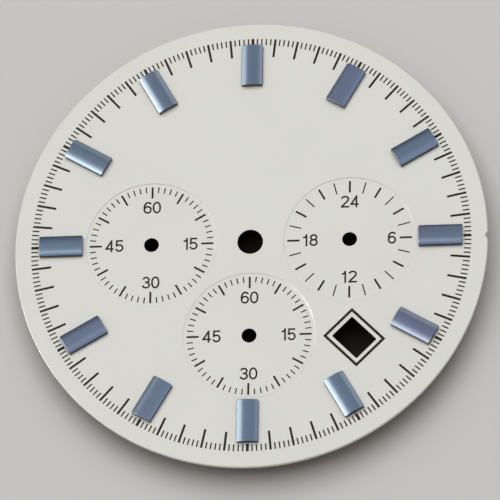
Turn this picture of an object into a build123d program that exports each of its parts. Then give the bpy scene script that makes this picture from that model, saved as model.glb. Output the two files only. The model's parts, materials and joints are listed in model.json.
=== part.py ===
from build123d import *
from math import atan2, cos, radians, sin, sqrt, tan
import os

# Dial of a quartz chronograph: a lacquered brass plate with three recessed small dials, twelve
# applied indices, a date window at half past four, pad printed scales and two dial feet.
# Millimetres. The origin is on the axis of the centre bore, in the back face of the plate.
# +Z points out of the front, +Y to twelve o'clock and +X to three o'clock.

os.makedirs("parts", exist_ok=True)

# Plate and coat
dial_radius = 17.0
plate_thickness = 0.36
coat_thickness = 0.04
bare_rim_height = 0.12
plate_edge_radius = 0.05
overrun = 1.0

# Notch in the rim at three o'clock, measured in the coat
notch_width = 0.60
notch_depth = 0.20
notch_shoulder_radius = 0.20
notch_tip_radius = 0.08

# Minute track
track_margin = 1.17
minute_mark_length = 1.41
minute_mark_width = 0.166
fifth_mark_length = 0.50
fifth_mark_width = 0.10
hour_mark_width = 0.205
index_to_hour_mark = 0.06
index_to_track = 0.12
minutes = 60
fifths_in_a_minute = 5
hours = 12

# Applied indices
index_length = 3.14
index_width = 1.54
index_wall_height = 0.29
index_crown_rise = 0.16
index_corner_radius = 0.08
index_foot_radius = 0.18
index_foot_inset = 0.64
index_foot_clearance = 0.02
index_foot_setback = 0.02
rivet_sink_depth = 0.10

# Small dials at three, six and nine o'clock
small_dial_land = 0.59
index_to_recess = 0.20
recess_depth = 0.05
recess_slope_width = 0.06
centre_bore_radius = 0.92
small_bore_radius = 0.53

# Scales and numerals of the small dials
scale_margin = 0.215
long_mark_length = 0.88
long_mark_width = 0.146
short_mark_length = 0.44
short_mark_width = 0.088
odd_hour_mark_width = 0.09
numeral_to_scale = 0.255
digit_height = 0.91
digit_width = 0.60
one_width = 0.31
digit_stroke = 0.124
seconds = 60
day_hours = 24

# Date window
date_opening_length = 2.48
date_opening_width = 2.01
date_corner_radius = 0.09
date_bevel_width = 0.25
date_bevel_depth = 0.03
date_frame_line = 0.195
date_land = 0.54
date_angle = -45.0

# Ink of all the prints
ink_thickness = 0.02

# Dial feet
foot_radius = 0.40
foot_length = 2.20
foot_tip_chamfer = 0.10
foot_flange_radius = 0.70
foot_flange_thickness = 0.10
foot_seat_clearance = 0.01
foot_rim_distance = 2.60
foot_angles = (105.0, 285.0)

# Places that follow from the sizes above
coat_top = plate_thickness + coat_thickness
floor_top = coat_top - recess_depth
track_radius = dial_radius - track_margin
fifth_mark_inner = track_radius - fifth_mark_length
index_outer = fifth_mark_inner - index_to_track
index_inner = index_outer - index_length
index_height = index_wall_height + index_crown_rise
foot_hole_radius = index_foot_radius + index_foot_clearance
diagonal = sqrt(2)
small_dial_offset = (index_inner - index_to_recess + small_dial_land / 2) / (1 + 1 / diagonal)
recess_radius = small_dial_offset / diagonal - small_dial_land / 2
recess_floor_radius = recess_radius - recess_slope_width
scale_radius = recess_floor_radius - scale_margin
numeral_reach = scale_radius - long_mark_length - numeral_to_scale
date_field_length = date_opening_length + 2 * date_bevel_width
date_field_width = date_opening_width + 2 * date_bevel_width
date_frame_length = date_field_length + 2 * date_frame_line
date_frame_width = date_field_width + 2 * date_frame_line

# The corners of the window's frame keep the date land to the recesses on both sides.
date_half_diagonal = sqrt(date_frame_length**2 + date_frame_width**2) / 2
date_spacing = recess_radius + date_land + date_half_diagonal
date_reach = sqrt(4 * date_spacing**2 - 2 * small_dial_offset**2)
date_radius = (diagonal * small_dial_offset + date_reach) / 2

small_dials = {
    "right": (small_dial_offset, 0),
    "bottom": (0, -small_dial_offset),
    "left": (-small_dial_offset, 0),
}


def polar(radius, angle):
    """Point at a radius and an angle, which counts anticlockwise from three o'clock."""
    return (radius * cos(radians(angle)), radius * sin(radians(angle)))


def at(point, height):
    return Pos(point[0], point[1], height)


def cylinder(radius, bottom, top):
    up = (Align.CENTER, Align.CENTER, Align.MIN)
    return Pos(0, 0, bottom) * Cylinder(radius, top - bottom, align=up)


def cone(bottom_radius, top_radius, bottom, top):
    up = (Align.CENTER, Align.CENTER, Align.MIN)
    return Pos(0, 0, bottom) * Cone(bottom_radius, top_radius, top - bottom, align=up)


def save(name, solids):
    shape = solids[0] if len(solids) == 1 else Compound(children=list(solids))
    export_step(shape, f"parts/{name}.step")


# Plate and coat


def outline(inset):
    """Round outline with its notch, drawn the inset inside the finished dial."""
    radius = dial_radius - inset
    flank = atan2(notch_width / 2, notch_depth)
    tip = dial_radius - notch_depth - inset / sin(flank)
    far = dial_radius + overrun
    half = (far - tip) * tan(flank)
    wedge = make_face(Polyline((tip, 0), (far, -half), (far, half), (tip, 0)))
    disc = Circle(radius) - wedge
    disc = fillet(disc.vertices().sort_by(Axis.X)[:1], notch_tip_radius + inset)
    shoulders = disc.vertices().sort_by(Axis.X)[-2:]
    return fillet(shoulders, notch_shoulder_radius - inset)


def blank(inset, bottom, top, edge_radius):
    """Disc with a rounded front edge."""
    disc = Pos(0, 0, bottom) * extrude(outline(inset), amount=top - bottom)
    rim = disc.faces().sort_by(Axis.Z)[-1].outer_wire().edges()
    return fillet(rim, edge_radius)


def date_place(height):
    return at(polar(date_radius, date_angle), height) * Rot(0, 0, date_angle)


def date_outline(grow):
    """Outline of the window, longer along the dial's radius, grown on all its sides."""
    length = date_opening_length + 2 * grow
    return RectangleRounded(length, date_opening_width + 2 * grow, date_corner_radius)


def sunk_forms(front):
    """What is sunk into a front face at this height: three recesses and the date bevel."""
    lift = overrun / recess_depth
    top = front + overrun
    wide = recess_radius + recess_slope_width * lift
    recess = cone(recess_floor_radius, wide, front - recess_depth, top)
    forms = [at(centre, 0) * recess for centre in small_dials.values()]
    low = Pos(0, 0, front - date_bevel_depth) * date_outline(0)
    high = Pos(0, 0, top) * date_outline(date_bevel_width * (1 + overrun / date_bevel_depth))
    forms.append(date_place(0) * loft([low.face(), high.face()]))
    return forms


def bores():
    tall = coat_top + overrun
    holes = [cylinder(centre_bore_radius, -overrun, tall)]
    for centre in small_dials.values():
        holes.append(at(centre, 0) * cylinder(small_bore_radius, -overrun, tall))
    holes.append(date_place(-overrun) * extrude(date_outline(0), amount=tall + overrun))
    return holes


def index_places():
    for hour in range(hours):
        yield Rot(0, 0, 90 - 360 / hours * hour)


def foot_stations():
    return (index_inner + index_foot_inset, index_outer - index_foot_inset)


def rivet_holes():
    """Through holes for the index feet, opened at the back for the rivet heads."""
    shaft = cylinder(foot_hole_radius, -overrun, coat_top + overrun)
    wide = foot_hole_radius + rivet_sink_depth + overrun
    hole = shaft + cone(wide, foot_hole_radius, -overrun, rivet_sink_depth)
    return [turn * Pos(station, 0, 0) * hole for turn in index_places() for station in foot_stations()]


def foot_places():
    for angle in foot_angles:
        yield at(polar(dial_radius - foot_rim_distance, angle), 0)


def foot_seats():
    radius = foot_flange_radius + foot_seat_clearance
    seat = cylinder(radius, -overrun, foot_flange_thickness + foot_seat_clearance)
    return [place * seat for place in foot_places()]


def metal_form():
    solid = blank(coat_thickness, 0, plate_thickness, plate_edge_radius)
    return solid - sunk_forms(plate_thickness)


def dial_plate():
    return metal_form() - bores() - rivet_holes() - foot_seats()


def lacquer_coat():
    """The coat lies on the whole front and runs down the rim, all of one thickness."""
    skin = blank(0, bare_rim_height, coat_top, plate_edge_radius + coat_thickness)
    return skin - sunk_forms(coat_top) - metal_form() - bores() - rivet_holes()


# Applied indices


def index_section():
    """Cross-section of an index: two walls under a crown that is flat in the middle and rolls off."""
    half = index_width / 2
    third = half / 3
    lines = [Line((-half, 0), (half, 0))]
    for side in (1, -1):
        wall_top = (side * half, index_wall_height)
        lines.append(Line((side * half, 0), wall_top))
        bends = [(side * 2 * third, index_height), (side * third, index_height)]
        lines.append(Bezier(wall_top, *bends, (0, index_height)))
    return make_face(lines)


def applied_index():
    """One index along +X, its two feet riveted flush into the back of the plate."""
    along = Plane(origin=(index_inner, 0, coat_top), x_dir=(0, 1, 0), z_dir=(1, 0, 0))
    bar = extrude(along * index_section(), amount=index_length)
    plan = RectangleRounded(index_length, index_width, index_corner_radius)
    middle = index_inner + index_length / 2
    body = bar & (Pos(middle, 0, coat_top) * extrude(plan, amount=index_height))
    bottom = index_foot_setback
    head = foot_hole_radius + rivet_sink_depth - index_foot_setback - index_foot_clearance
    foot = cylinder(index_foot_radius, bottom, coat_top)
    foot += cone(head, index_foot_radius, bottom, rivet_sink_depth)
    return body + [Pos(station, 0, 0) * foot for station in foot_stations()]


# Dial feet


def dial_foot():
    pin = cylinder(foot_radius, -foot_length, 0)
    pin = chamfer(pin.edges().sort_by(Axis.Z)[0], foot_tip_chamfer)
    return pin + cylinder(foot_flange_radius, 0, foot_flange_thickness)


# Prints


def mark(inner, outer, width, height):
    side = (Align.MIN, Align.CENTER, Align.MIN)
    return Pos(inner, 0, height) * Box(outer - inner, width, ink_thickness, align=side)


def ring_of_marks(shape, count, wanted):
    """Copies at equal steps, clockwise from twelve o'clock; wanted picks the steps to print."""
    steps = [step for step in range(count) if wanted(step)]
    return [Rot(0, 0, 90 - 360 / count * step) * shape for step in steps]


def minute_marks():
    shape = mark(track_radius - minute_mark_length, track_radius, minute_mark_width, coat_top)
    return ring_of_marks(shape, minutes, lambda minute: minute % (minutes // hours) != 0)


def fifth_marks():
    shape = mark(fifth_mark_inner, track_radius, fifth_mark_width, coat_top)
    count = minutes * fifths_in_a_minute
    return ring_of_marks(shape, count, lambda fifth: fifth % fifths_in_a_minute != 0)


def hour_marks():
    shape = mark(index_outer + index_to_hour_mark, track_radius, hour_mark_width, coat_top)
    return ring_of_marks(shape, hours, lambda hour: True)


def scale_marks(length, width, count, wanted):
    shape = mark(scale_radius - length, scale_radius, width, floor_top)
    return ring_of_marks(shape, count, wanted)


def seconds_scale():
    step = seconds // hours
    long_marks = scale_marks(long_mark_length, long_mark_width, seconds, lambda s: s % step == 0)
    short_marks = scale_marks(short_mark_length, short_mark_width, seconds, lambda s: s % step != 0)
    return long_marks + short_marks


def day_scale():
    even = scale_marks(long_mark_length, long_mark_width, day_hours, lambda hour: hour % 2 == 0)
    odd = scale_marks(long_mark_length, odd_hour_mark_width, day_hours, lambda hour: hour % 2 == 1)
    return even + odd


# Numerals are drawn with a pen of one width. Each digit stands on the x axis in a box of its
# own width and the digit height. The pen's path stays half a stroke inside that box.
half_stroke = digit_stroke / 2
pen_left = half_stroke
pen_middle = digit_width / 2
pen_reach = pen_middle - half_stroke
pen_top = digit_height - half_stroke
pen_bottom = half_stroke
waist_share = 0.53
upper_bow_share = 0.88


def straight(start, end):
    return trace(Line(start, end), digit_stroke)


def bow(centre, reach_x, reach_y, start, turn):
    """Stroke along an ellipse from the start angle; a negative turn goes clockwise."""
    path = EllipticalCenterArc(centre, reach_x, reach_y, start_angle=start, arc_size=turn)
    return trace(path, digit_stroke)


def on_bow(centre, reach_x, reach_y, angle):
    x = centre[0] + reach_x * cos(radians(angle))
    y = centre[1] + reach_y * sin(radians(angle))
    return (x, y)


def dot(point):
    """Round join between two strokes."""
    return Pos(*point) * Circle(half_stroke)


def loop(centre, reach_x, reach_y):
    outer = Ellipse(reach_x + half_stroke, reach_y + half_stroke)
    inner = Ellipse(reach_x - half_stroke, reach_y - half_stroke)
    return Pos(*centre) * (outer - inner)


def stacked_bows():
    """Centres and heights of the upper and lower bow of a three or an eight."""
    waist = digit_height * waist_share
    upper = (pen_top - waist) / 2
    lower = (waist - pen_bottom) / 2
    return (pen_middle, waist + upper), upper, (pen_middle, waist - lower), lower


def zero():
    flank_share = 0.12
    half_flank = digit_height * flank_share / 2
    rings = []
    for grow in (half_stroke, -half_stroke):
        cap = Ellipse(pen_reach + grow, pen_top - digit_height / 2 - half_flank + grow)
        oval = Rectangle(2 * (pen_reach + grow), 2 * half_flank)
        rings.append(oval + Pos(0, half_flank) * cap + Pos(0, -half_flank) * cap)
    return Pos(pen_middle, digit_height / 2) * (rings[0] - rings[1])


def one():
    flag_length_share = 0.42
    flag_drop_share = 0.25
    stem = one_width - half_stroke
    flag = stem * flag_length_share
    drop = digit_height * flag_drop_share
    lift = bow((flag, digit_height), stem - flag, drop, 0, -90)
    flag_line = straight((0, digit_height - drop), (flag, digit_height - drop))
    return straight((stem, 0), (stem, digit_height)) + lift + flag_line


def two():
    turn_share = 0.72
    tip_angle = 172
    lean = -25
    turn = (pen_middle, digit_height * turn_share)
    rise = pen_top - turn[1]
    head = bow(turn, pen_reach, rise, tip_angle, lean - tip_angle)
    heading = (pen_reach * sin(radians(lean)), -rise * cos(radians(lean)))
    foot = (pen_left, pen_bottom)
    back = Spline(on_bow(turn, pen_reach, rise, lean), foot, tangents=[heading, heading])
    return head + trace(back, digit_stroke) + straight((0, pen_bottom), (digit_width, pen_bottom))


def three():
    tongue_share = 0.74
    tip_angle = 168
    belly_turn = 260
    head_centre, upper, belly_centre, lower = stacked_bows()
    head = bow(head_centre, pen_reach * upper_bow_share, upper, tip_angle, -90 - tip_angle)
    belly = bow(belly_centre, pen_reach, lower, 90, -belly_turn)
    waist = belly_centre[1] + lower
    return head + belly + straight((pen_middle * tongue_share, waist), (pen_middle, waist))


def four():
    stem_share = 0.74
    bar_share = 0.27
    stem = digit_width * stem_share
    bar = digit_height * bar_share
    slope = straight((pen_left, bar), (stem, pen_top))
    return slope + straight((0, bar), (digit_width, bar)) + straight((stem, 0), (stem, digit_height))


def five():
    bowl_share = 0.66
    lean_share = 0.10
    flag_share = 0.93
    join = 150
    belly_turn = 315
    bowl = (digit_height * bowl_share - digit_stroke) / 2
    centre = (pen_middle, pen_bottom + bowl)
    corner = (pen_left + digit_width * lean_share, pen_top)
    foot = on_bow(centre, pen_reach, bowl, join)
    belly = bow(centre, pen_reach, bowl, join, -belly_turn)
    back = straight(foot, corner)
    flag = straight((corner[0] - half_stroke, pen_top), (digit_width * flag_share, pen_top))
    return belly + back + dot(foot) + flag


def six():
    bowl_top_share = 0.59
    hook_share = 0.77
    join = 195
    hook_turn = 78
    bowl = (digit_height * bowl_top_share - pen_bottom) / 2
    belly = loop((pen_middle, pen_bottom + bowl), pen_reach, bowl)
    side = digit_height / 2
    spine = bow((pen_middle, side), pen_reach, pen_top - side, join, 90 - join)
    hook = digit_height * hook_share
    return belly + spine + bow((pen_middle, hook), pen_reach, pen_top - hook, 90, -hook_turn)


def eight():
    head_centre, upper, belly_centre, lower = stacked_bows()
    return loop(head_centre, pen_reach * upper_bow_share, upper) + loop(belly_centre, pen_reach, lower)


digits = {"0": zero, "1": one, "2": two, "3": three, "4": four, "5": five, "6": six, "8": eight}

# Gap between the two digits of a numeral, as a share of the digit width
pair_gap_shares = {"12": 0.28, "15": 0.17, "18": 0.25, "24": 0.12, "30": 0.11, "45": 0.18, "60": 0.11}


def numeral(text):
    """Digits side by side from x = 0, with the width of the whole."""
    glyphs = [digits[text[0]]()]
    width = one_width if text[0] == "1" else digit_width
    if len(text) == 2:
        start = width + digit_width * pair_gap_shares[text]
        glyphs.append(Pos(start, 0) * digits[text[1]]())
        width = start + digit_width
    return glyphs, width


def numerals(texts):
    """Four upright numerals, at twelve, three, six and nine o'clock of a small dial."""
    middle = numeral_reach - digit_height / 2
    solids = []
    for place, text in enumerate(texts):
        glyphs, width = numeral(text)
        side = numeral_reach - width / 2
        x, y = [(0, middle), (side, 0), (0, -middle), (-side, 0)][place]
        corner = Pos(x - width / 2, y - digit_height / 2, floor_top)
        for glyph in glyphs:
            solids.append(corner * extrude(glyph, amount=ink_thickness))
    return solids


def date_frame_print():
    ring = Rectangle(date_frame_length, date_frame_width)
    ring -= Rectangle(date_field_length, date_field_width)
    return date_place(coat_top) * extrude(ring, amount=ink_thickness)


def on_small_dial(name, solids):
    return [at(small_dials[name], 0) * solid for solid in solids]


save("dial_plate", [dial_plate()])
save("lacquer_coat", [lacquer_coat()])

for number, turn in enumerate(index_places()):
    save(f"index_{number or hours:02d}", [turn * applied_index()])

for number, place in enumerate(foot_places(), start=1):
    save(f"dial_foot_{number}", [place * dial_foot()])

save("print_minute_marks", minute_marks())
save("print_fifth_marks", fifth_marks())
save("print_hour_marks", hour_marks())
save("print_date_frame", [date_frame_print()])
save("print_left_scale", on_small_dial("left", seconds_scale()))
save("print_left_numerals", on_small_dial("left", numerals(["60", "15", "30", "45"])))
save("print_bottom_scale", on_small_dial("bottom", seconds_scale()))
save("print_bottom_numerals", on_small_dial("bottom", numerals(["60", "15", "30", "45"])))
save("print_right_scale", on_small_dial("right", day_scale()))
save("print_right_numerals", on_small_dial("right", numerals(["24", "6", "12", "18"])))

print(f"small dials {small_dial_offset:.3f} out, recess radius {recess_radius:.3f}")
print(f"date window {date_radius:.3f} out, indices from {index_inner:.3f} to {index_outer:.3f}")
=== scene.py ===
import bmesh
import bpy
import json
import math
from mathutils import Matrix, Vector
from mathutils.geometry import tessellate_polygon


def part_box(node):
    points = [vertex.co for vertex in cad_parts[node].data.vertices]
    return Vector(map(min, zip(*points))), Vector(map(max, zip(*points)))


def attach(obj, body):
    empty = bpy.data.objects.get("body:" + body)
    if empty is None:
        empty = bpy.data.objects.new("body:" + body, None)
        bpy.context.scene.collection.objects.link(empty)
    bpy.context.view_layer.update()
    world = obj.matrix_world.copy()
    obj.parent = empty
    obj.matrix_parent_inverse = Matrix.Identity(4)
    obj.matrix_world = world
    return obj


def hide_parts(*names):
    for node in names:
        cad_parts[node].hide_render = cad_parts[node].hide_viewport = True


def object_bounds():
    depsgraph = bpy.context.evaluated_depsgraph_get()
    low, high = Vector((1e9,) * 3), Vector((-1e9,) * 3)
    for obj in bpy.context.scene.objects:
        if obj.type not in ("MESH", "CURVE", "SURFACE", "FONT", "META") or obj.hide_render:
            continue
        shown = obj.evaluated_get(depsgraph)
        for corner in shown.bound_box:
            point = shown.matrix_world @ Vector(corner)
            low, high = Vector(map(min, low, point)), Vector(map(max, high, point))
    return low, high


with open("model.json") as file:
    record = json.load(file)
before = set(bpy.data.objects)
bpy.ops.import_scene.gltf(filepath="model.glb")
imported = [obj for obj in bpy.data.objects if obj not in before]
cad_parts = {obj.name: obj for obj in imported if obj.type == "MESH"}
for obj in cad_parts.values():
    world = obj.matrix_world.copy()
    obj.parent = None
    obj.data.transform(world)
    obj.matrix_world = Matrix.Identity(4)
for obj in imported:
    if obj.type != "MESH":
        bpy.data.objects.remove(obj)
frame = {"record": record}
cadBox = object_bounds()

# White chronograph dial with blue applied indices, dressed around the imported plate.
# The dictionaries hold millimetres and degrees; mm turns a size into metres.
mm = 0.001
mounts = {mount["name"]: mount for mount in frame["record"]["mounts"]}


def mountPoint(name):
    x, y = mounts[name]["pos_m"][:2]
    return (x / mm, y / mm)


def lowHigh(node):
    low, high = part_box(node)
    return low / mm, high / mm


plateTop = lowHigh("dial_plate")[1].z
coatLow = lowHigh("lacquer_coat")[0].z
coatTop = lowHigh("lacquer_coat")[1].z
coatThickness = coatTop - plateTop
dialRadius = lowHigh("lacquer_coat")[1].y
floorTop = lowHigh("print_left_scale")[0].z
inkThickness = lowHigh("print_left_scale")[1].z - floorTop
indexLow, indexHigh = lowHigh("index_12")
trackRadius = lowHigh("print_fifth_marks")[1].y
smallDials = {side: mountPoint(side + "_bore") for side in ("left", "bottom", "right")}
scaleRadius = lowHigh("print_right_scale")[1].x - smallDials["right"][0]
centreRadius = mounts["centre_bore"]["dims"]["r_mm"]
smallRadius = mounts["left_bore"]["dims"]["r_mm"]
footNames = ("dial_foot_1", "dial_foot_2")
print("frame read: dial radius", round(dialRadius, 3), "mm, coat top", round(coatTop, 3), "mm")


# Node helpers


def addNode(tree, kind, values=None, **settings):
    node = tree.nodes.new(kind)
    for name, value in settings.items():
        setattr(node, name, value)
    for name, value in (values or {}).items():
        if isinstance(value, bpy.types.NodeSocket):
            tree.links.new(value, node.inputs[name])
        else:
            node.inputs[name].default_value = value
    return node


def calc(tree, operation, *values):
    values = dict(enumerate(values))
    return addNode(tree, "ShaderNodeMath", values, operation=operation).outputs[0]


def clamp(tree, value):
    return addNode(tree, "ShaderNodeClamp", {0: value}).outputs[0]


def spread(tree, value, low=0.0, high=1.0, start=0.3, end=0.7):
    values = {"Value": value, "From Min": start, "From Max": end, "To Min": low, "To Max": high}
    return addNode(tree, "ShaderNodeMapRange", values).outputs[0]


def splitParts(tree, vector):
    return addNode(tree, "ShaderNodeSeparateXYZ", {0: vector}).outputs


def joinParts(tree, x=0.0, y=0.0, z=0.0):
    return addNode(tree, "ShaderNodeCombineXYZ", {0: x, 1: y, 2: z}).outputs[0]


def scaleVector(tree, vector, scale):
    values = {0: vector, "Scale": scale}
    return addNode(tree, "ShaderNodeVectorMath", values, operation="SCALE").outputs[0]


groupOutputs = {
    "ShaderNodeTree": ("Mask", "NodeSocketFloat"),
    "GeometryNodeTree": ("Geometry", "NodeSocketGeometry"),
}


def newGroup(name, kind, inputs):  # an input holds its start value, or its type as a word
    tree = bpy.data.node_groups.new(name, kind)
    for label, value in inputs.items():
        typeName = value if isinstance(value, str) else "NodeSocketFloat"
        socket = tree.interface.new_socket(name=label, in_out="INPUT", socket_type=typeName)
        if typeName != value:
            socket.default_value = value
    label, typeName = groupOutputs[kind]
    tree.interface.new_socket(name=label, in_out="OUTPUT", socket_type=typeName)
    given, result = tree.nodes.new("NodeGroupInput"), tree.nodes.new("NodeGroupOutput")
    return tree, given.outputs, result.inputs[0]


# Shader groups that several finishes share, each giving one mask


def surfacePlace(tree):  # object coordinates in millimetres
    return scaleVector(tree, addNode(tree, "ShaderNodeTexCoord").outputs["Object"], 1 / mm)


def addNoise(tree, x, y, z, detail):
    values = {"Vector": joinParts(tree, x, y, z), "Scale": 1.0, "Detail": detail}
    return addNode(tree, "ShaderNodeTexNoise", values).outputs["Fac"]


def buildPatches():  # cloudy noise, with one size in the dial's plane and one along its axis
    sizes = {"Size": 1.0, "Height Size": 1.0, "Detail": 2.0}
    tree, given, result = newGroup("patches", "ShaderNodeTree", sizes)
    x, y, z = splitParts(tree, surfacePlace(tree))
    x, y = (calc(tree, "DIVIDE", part, given["Size"]) for part in (x, y))
    z = calc(tree, "DIVIDE", z, given["Height Size"])
    tree.links.new(addNoise(tree, x, y, z, given["Detail"]), result)
    return tree


def buildRoundGrain():  # grain drawn out along the radius or round the dial's centre
    meanRadius = 13.0
    sizes = {"Radial Size": 1.0, "Ring Size": 1.0, "Detail": 3.0}
    tree, given, result = newGroup("roundGrain", "ShaderNodeTree", sizes)
    x, y, z = splitParts(tree, surfacePlace(tree))
    squares = [calc(tree, "POWER", part, 2.0) for part in (x, y)]
    radius = calc(tree, "SQRT", calc(tree, "ADD", *squares))
    ring = calc(tree, "DIVIDE", meanRadius, given["Ring Size"])
    x, y = (calc(tree, "MULTIPLY", calc(tree, "DIVIDE", part, radius), ring) for part in (x, y))
    z = calc(tree, "DIVIDE", radius, given["Radial Size"])
    tree.links.new(addNoise(tree, x, y, z, given["Detail"]), result)
    return tree


def buildSpecks():  # rare small round specks, such as dust
    tree, given, result = newGroup("specks", "ShaderNodeTree", {"Spacing": 1.0, "Radius": 0.02})
    place = scaleVector(tree, surfacePlace(tree), calc(tree, "DIVIDE", 1.0, given["Spacing"]))
    cells = addNode(tree, "ShaderNodeTexVoronoi", {"Vector": place, "Scale": 1.0})
    reach = calc(tree, "DIVIDE", given["Radius"], given["Spacing"])
    near = calc(tree, "SUBTRACT", 1.0, calc(tree, "DIVIDE", cells.outputs["Distance"], reach))
    tree.links.new(calc(tree, "MAXIMUM", near, 0.0), result)
    return tree


def buildSteepness():  # nought on flat ground, one on an upright wall
    tree, given, result = newGroup("steepness", "ShaderNodeTree", {"Start": 0.3, "End": 0.9})
    normal = addNode(tree, "ShaderNodeNewGeometry").outputs["Normal"]
    tilt = calc(tree, "SUBTRACT", 1.0, calc(tree, "ABSOLUTE", splitParts(tree, normal)[2]))
    tree.links.new(spread(tree, tilt, start=given["Start"], end=given["End"]), result)
    return tree


groups = {
    "patches": buildPatches(),
    "roundGrain": buildRoundGrain(),
    "specks": buildSpecks(),
    "steepness": buildSteepness(),
}


# Finishes


def paint(red, green, blue):  # a colour as it looks on a screen, from 0 to 255
    linear = [
        share / 12.92 if share <= 0.04045 else ((share + 0.055) / 1.055) ** 2.4
        for share in (red / 255, green / 255, blue / 255)
    ]
    return (*linear, 1.0)


def startFinish(name, values):
    material = bpy.data.materials.new(name)
    material.use_nodes = True
    tree = material.node_tree
    shader = tree.nodes["Principled BSDF"]
    for label, value in values.items():
        shader.inputs[label].default_value = value
    return material, tree, shader.inputs


def mask(tree, group, *sizes):  # sizes in the order of the group's inputs
    sizes = dict(enumerate(sizes))
    return addNode(tree, "ShaderNodeGroup", sizes, node_tree=groups[group]).outputs["Mask"]


def patches(tree, size):
    return mask(tree, "patches", size, size)


def mixColours(tree, share, first, second):
    values = {0: share, 6: first, 7: second}
    return addNode(tree, "ShaderNodeMix", values, data_type="RGBA").outputs[2]


def setColour(tree, inputs, colour):
    tree.links.new(colour, inputs["Base Color"])


def addGrain(tree, inputs, pattern, roughness, depth):  # one pattern for roughness and bump
    tree.links.new(spread(tree, pattern, *roughness), inputs["Roughness"])
    values = {"Height": pattern, "Distance": depth * mm}
    tree.links.new(addNode(tree, "ShaderNodeBump", values).outputs[0], inputs["Normal"])


lacquerFinish = {
    "shader": {"Coat Weight": 1.0, "Coat Roughness": 0.07, "IOR": 1.5},
    "body": paint(215, 214, 207),
    "cloud": paint(213, 212, 205),
    "cloudSize": 7.0,
    "dust": paint(150, 140, 126),
    "dustSpacing": 4.0,
    "dustRadius": 0.035,
    "dustShare": 0.35,
    "peelSize": 0.45,
    "peelDepth": 0.0004,
    "roughness": (0.31, 0.37),
}


def whiteLacquer():
    look = lacquerFinish
    material, tree, inputs = startFinish("whiteLacquer", look["shader"])
    cloud = spread(tree, patches(tree, look["cloudSize"]))
    colour = mixColours(tree, cloud, look["body"], look["cloud"])
    dust = mask(tree, "specks", look["dustSpacing"], look["dustRadius"])
    dust = calc(tree, "MULTIPLY", dust, look["dustShare"])
    setColour(tree, inputs, mixColours(tree, dust, colour, look["dust"]))
    peel = patches(tree, look["peelSize"])
    addGrain(tree, inputs, peel, look["roughness"], look["peelDepth"])
    return material


indexFinish = {
    "shader": {"Metallic": 1.0, "Coat Weight": 0.6, "Coat Roughness": 0.25},
    "steel": paint(128, 148, 164),
    "violet": paint(133, 140, 163),
    "driftSize": 2.2,
    "drift": (-0.25, 0.25),
    # Painted shade: the steep sides and edge rounds of the indices take this dark colour, as they
    # look when shaded.
    "wall": paint(36, 39, 45),
    "wallTilt": (0.16, 0.24),
    "brushLength": 2.5,
    "brushWidth": 0.035,
    "brushShare": 0.35,
    "sparkleSize": 0.06,
    "grainDepth": 0.0004,
    "roughness": (0.26, 0.34),
}


def blueMetal():
    look = indexFinish
    material, tree, inputs = startFinish("blueMetal", look["shader"])
    tint = addNode(tree, "ShaderNodeAttribute", attribute_name="violetShare").outputs["Fac"]
    drift = spread(tree, patches(tree, look["driftSize"]), *look["drift"])
    share = clamp(tree, calc(tree, "ADD", tint, drift))
    top = mixColours(tree, share, look["steel"], look["violet"])
    # painted shade: steep sides and edge rounds are coloured dark by their tilt
    steep = mask(tree, "steepness", *look["wallTilt"])
    setColour(tree, inputs, mixColours(tree, steep, top, look["wall"]))
    brush = mask(tree, "roundGrain", look["brushLength"], look["brushWidth"])
    brush = calc(tree, "MULTIPLY", brush, look["brushShare"])
    sparkle = calc(tree, "MULTIPLY", patches(tree, look["sparkleSize"]), 1 - look["brushShare"])
    grain = calc(tree, "ADD", brush, sparkle)
    addGrain(tree, inputs, grain, look["roughness"], look["grainDepth"])
    return material


inkFinish = {
    "shader": {"Specular IOR Level": 0.12},
    "body": paint(36, 30, 21),
    "thin": paint(45, 38, 27),
    "thinSize": 0.25,
    "grainSize": 0.05,
    "grainDepth": 0.0008,
    "roughness": (0.40, 0.56),
}


def brownInk():
    look = inkFinish
    material, tree, inputs = startFinish("brownInk", look["shader"])
    thin = spread(tree, patches(tree, look["thinSize"]))
    setColour(tree, inputs, mixColours(tree, thin, look["body"], look["thin"]))
    grain = patches(tree, look["grainSize"])
    addGrain(tree, inputs, grain, look["roughness"], look["grainDepth"])
    return material


brassFinish = {
    "shader": {"Metallic": 1.0},
    "bright": paint(214, 184, 118),
    "tarnish": paint(176, 141, 84),
    "tarnishSize": 3.0,
    "tarnishShare": (0.0, 0.7),
    # Painted shade: the steep bore, window and rim walls of the plate take this dark colour, as
    # they look when shaded.
    "wall": paint(120, 98, 66),
    "wallTilt": (0.5, 0.95),
    "turnedPitch": 0.05,
    "turnedLength": 9.0,
    "turnedShare": (-0.15, 0.3),
    "turnedDepth": 0.0016,
    "roughness": (0.24, 0.42),
}


def turnedBrass():
    look = brassFinish
    material, tree, inputs = startFinish("turnedBrass", look["shader"])
    patch = spread(tree, patches(tree, look["tarnishSize"]), *look["tarnishShare"])
    turned = mask(tree, "roundGrain", look["turnedPitch"], look["turnedLength"])
    share = clamp(tree, calc(tree, "ADD", patch, spread(tree, turned, *look["turnedShare"])))
    colour = mixColours(tree, share, look["bright"], look["tarnish"])
    # painted shade: steep walls of the plate are coloured dark by their tilt
    steep = mask(tree, "steepness", *look["wallTilt"])
    setColour(tree, inputs, mixColours(tree, steep, colour, look["wall"]))
    addGrain(tree, inputs, turned, look["roughness"], look["turnedDepth"])
    return material


copperFinish = {
    "shader": {"Metallic": 1.0},
    "bright": paint(214, 140, 104),
    "dull": paint(150, 88, 62),
    "dullSize": 0.5,
    "streakWidth": 0.05,
    "streakLength": 1.6,
    "streakShare": (0.4, 1.0),
    "streakDepth": 0.0015,
    "roughness": (0.28, 0.48),
}


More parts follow.
